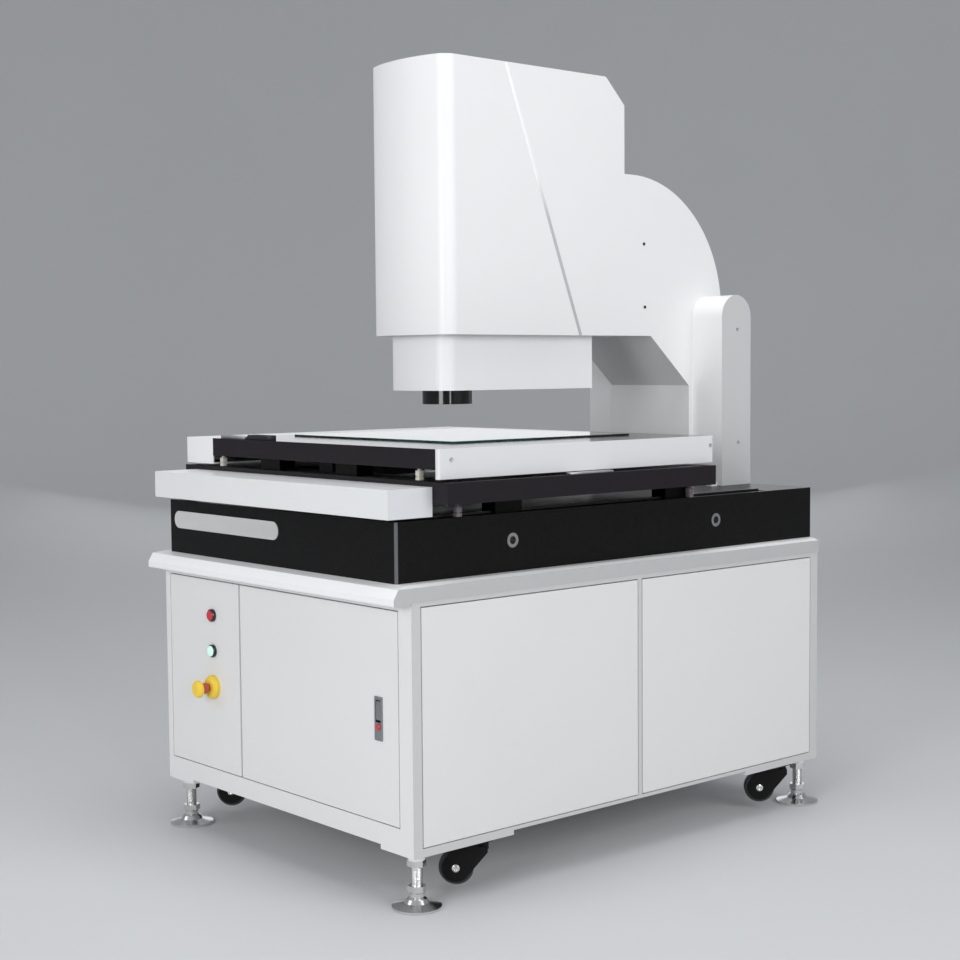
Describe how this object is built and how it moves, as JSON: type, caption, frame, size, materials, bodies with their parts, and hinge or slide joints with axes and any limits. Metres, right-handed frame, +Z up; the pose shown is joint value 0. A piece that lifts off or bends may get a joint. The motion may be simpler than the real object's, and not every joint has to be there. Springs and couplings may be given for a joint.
{
  "type": "vision measuring machine",
  "caption": "Optical measuring machine: a camera head on a column over a glass-topped cross stage, on a black granite base and a wheeled steel cabinet with levelling feet.",
  "frame": {"origin": "on the floor, under the middle of the machine (the emergency stop's knob reaches a little further forward than the covers)", "axes": "+X to the machine's right, +Y to its back (the front, with door and camera head, faces -Y), +Z up"},
  "size_m": [1.004, 1.3875, 1.824],
  "materials": {
    "frame_paint": "satin light grey-blue paint",
    "panel_paint": "satin light grey paint",
    "white_paint": "satin white paint",
    "granite": "fine-ground black granite",
    "stage_black": "dark anodised",
    "glass": "clear plate glass with ground edges",
    "bright_steel": "ground",
    "bearing_block": "machined",
    "chrome": "bright plated",
    "insert_brass": "turned",
    "motor_black": "matt black",
    "machined_aluminium": "machined",
    "cast_grey": "painted casting",
    "lens_black": "satin black",
    "caster_black": "black",
    "zinc": "zinc plated",
    "red_plastic": "gloss",
    "green_plastic": "translucent pale green",
    "yellow_plastic": "gloss",
    "black_plastic": "matt"
  },
  "bodies": {
    "base": {"cabinet_frame": "frame_paint", "side_panels": "panel_paint", "rear_panel": "panel_paint", "control_panel": "panel_paint", "door_hinge_pins": "zinc", "button_bezels": "chrome", "emergency_stop_base": "yellow_plastic", "foot_lock_nuts": "zinc", "caster_plates": "zinc", "control_units": "motor_black", "power_inlet": "black_plastic", "top_tray": "frame_paint", "granite_base": "granite", "lifting_inserts": "insert_brass", "guide_rails": "bright_steel", "y_screw_supports": "machined_aluminium", "drive_motors": "motor_black", "backlight": "machined_aluminium", "column_core": "cast_grey", "column_cover": "white_paint", "side_posts": "white_paint", "head_cover": "white_paint", "z_plate": "machined_aluminium"},
    "lower_stage": {"lower_stage": "stage_black", "lower_front_cover": "white_paint", "y_carriages": "bearing_block", "x_rails": "bright_steel"},
    "upper_stage": {"upper_stage": "stage_black", "x_carriages": "bearing_block", "x_motor": "motor_black", "stage_glass": "glass", "left_drive_cover": "white_paint", "right_side_cover": "white_paint"},
    "z_slide": {"z_saddle": "machined_aluminium", "z_box": "white_paint", "zoom_lens": "lens_black", "camera": "motor_black", "ring_light": "lens_black"},
    "y_screw": {"y_screw": "bright_steel"},
    "x_screw": {"x_screw": "bright_steel"},
    "z_screw": {"z_screw": "bright_steel"},
    "front_door": {"front_door": "panel_paint", "door_lock_body": "zinc"},
    "lock_handle": {"door_lock_handle": "zinc"},
    "lock_button": {"door_lock_button": "red_plastic"},
    "red_button": {"red_button": "red_plastic"},
    "green_button": {"green_button": "green_plastic"},
    "stop_knob": {"emergency_stop_knob": "yellow_plastic"},
    "foot_front_right": {"foot_front_right": "chrome"},
    "caster_fork_front_right": {"caster_fork_front_right": "zinc"},
    "caster_wheel_front_right": {"caster_wheel_front_right": "caster_black"},
    "foot_front_left": {"foot_front_left": "chrome"},
    "caster_fork_front_left": {"caster_fork_front_left": "zinc"},
    "caster_wheel_front_left": {"caster_wheel_front_left": "caster_black"},
    "foot_rear_right": {"foot_rear_right": "chrome"},
    "caster_fork_rear_right": {"caster_fork_rear_right": "zinc"},
    "caster_wheel_rear_right": {"caster_wheel_rear_right": "caster_black"},
    "foot_rear_left": {"foot_rear_left": "chrome"},
    "caster_fork_rear_left": {"caster_fork_rear_left": "zinc"},
    "caster_wheel_rear_left": {"caster_wheel_rear_left": "caster_black"}
  },
  "joints": [
    {"name": "y_travel", "type": "slide", "parent": "base", "child": "lower_stage", "axis": [0, 1, 0], "range_m": [-0.25, 0.25]},
    {"name": "x_travel", "type": "slide", "parent": "lower_stage", "child": "upper_stage", "axis": [1, 0, 0], "range_m": [-0.3, 0.3]},
    {"name": "z_travel", "type": "slide", "parent": "base", "child": "z_slide", "axis": [0, 0, 1], "range_m": [-0.065, 0.135]},
    {"name": "y_screw_turn", "type": "hinge", "parent": "base", "child": "y_screw", "pos_m": [-0.28, 0, 0.817], "axis": [0, 1, 0], "continuous": true},
    {"name": "x_screw_turn", "type": "hinge", "parent": "upper_stage", "child": "x_screw", "pos_m": [0, -0.492, 0.916], "axis": [1, 0, 0], "continuous": true},
    {"name": "z_screw_turn", "type": "hinge", "parent": "base", "child": "z_screw", "pos_m": [0, -0.045, 1.45], "axis": [0, 0, 1], "continuous": true},
    {"name": "door_swing", "type": "hinge", "parent": "base", "child": "front_door", "pos_m": [-0.14, -0.641, 0.395], "axis": [0, 0, -1], "range_deg": [0, 110]},
    {"name": "lock_pull", "type": "hinge", "parent": "front_door", "child": "lock_handle", "pos_m": [0.368, -0.646, 0.422], "axis": [-1, 0, 0], "range_deg": [0, 60]},
    {"name": "lock_push", "type": "slide", "parent": "front_door", "child": "lock_button", "axis": [0, 1, 0], "range_m": [0, 0.003], "stiffness_N_per_m": 600, "springref_m": -0.002},
    {"name": "red_push", "type": "slide", "parent": "base", "child": "red_button", "axis": [0, 1, 0], "range_m": [0, 0.003], "stiffness_N_per_m": 900, "springref_m": -0.002},
    {"name": "green_push", "type": "slide", "parent": "base", "child": "green_button", "axis": [0, 1, 0], "range_m": [0, 0.003], "stiffness_N_per_m": 900, "springref_m": -0.002},
    {"name": "stop_push", "type": "slide", "parent": "base", "child": "stop_knob", "axis": [0, 1, 0], "range_m": [0, 0.006], "stiffness_N_per_m": 1500, "springref_m": -0.003},
    {"name": "level_front_right", "type": "slide", "parent": "base", "child": "foot_front_right", "axis": [0, 0, 1], "range_m": [-0.02, 0]},
    {"name": "swivel_front_right", "type": "hinge", "parent": "base", "child": "caster_fork_front_right", "pos_m": [0.436, -0.462, 0.1], "axis": [0, 0, 1], "continuous": true},
    {"name": "roll_front_right", "type": "hinge", "parent": "caster_fork_front_right", "child": "caster_wheel_front_right", "pos_m": [0.41479, -0.48321, 0.0555], "axis": [0.7071, -0.7071, 0], "continuous": true},
    {"name": "level_front_left", "type": "slide", "parent": "base", "child": "foot_front_left", "axis": [0, 0, 1], "range_m": [-0.02, 0]},
    {"name": "swivel_front_left", "type": "hinge", "parent": "base", "child": "caster_fork_front_left", "pos_m": [-0.436, -0.462, 0.1], "axis": [0, 0, 1], "continuous": true},
    {"name": "roll_front_left", "type": "hinge", "parent": "caster_fork_front_left", "child": "caster_wheel_front_left", "pos_m": [-0.45721, -0.48321, 0.0555], "axis": [0.7071, -0.7071, 0], "continuous": true},
    {"name": "level_rear_right", "type": "slide", "parent": "base", "child": "foot_rear_right", "axis": [0, 0, 1], "range_m": [-0.02, 0]},
    {"name": "swivel_rear_right", "type": "hinge", "parent": "base", "child": "caster_fork_rear_right", "pos_m": [0.436, 0.535, 0.1], "axis": [0, 0, 1], "continuous": true},
    {"name": "roll_rear_right", "type": "hinge", "parent": "caster_fork_rear_right", "child": "caster_wheel_rear_right", "pos_m": [0.41479, 0.51379, 0.0555], "axis": [0.7071, -0.7071, 0], "continuous": true},
    {"name": "level_rear_left", "type": "slide", "parent": "base", "child": "foot_rear_left", "axis": [0, 0, 1], "range_m": [-0.02, 0]},
    {"name": "swivel_rear_left", "type": "hinge", "parent": "base", "child": "caster_fork_rear_left", "pos_m": [-0.436, 0.535, 0.1], "axis": [0, 0, 1], "continuous": true},
    {"name": "roll_rear_left", "type": "hinge", "parent": "caster_fork_rear_left", "child": "caster_wheel_rear_left", "pos_m": [-0.45721, 0.51379, 0.0555], "axis": [0.7071, -0.7071, 0], "continuous": true}
  ],
  "couplings": [
    {"joint": "y_screw_turn", "follows": "y_travel", "rad_per_m": -628.32},
    {"joint": "x_screw_turn", "follows": "x_travel", "rad_per_m": 628.32},
    {"joint": "z_screw_turn", "follows": "z_travel", "rad_per_m": -628.32}
  ]
}
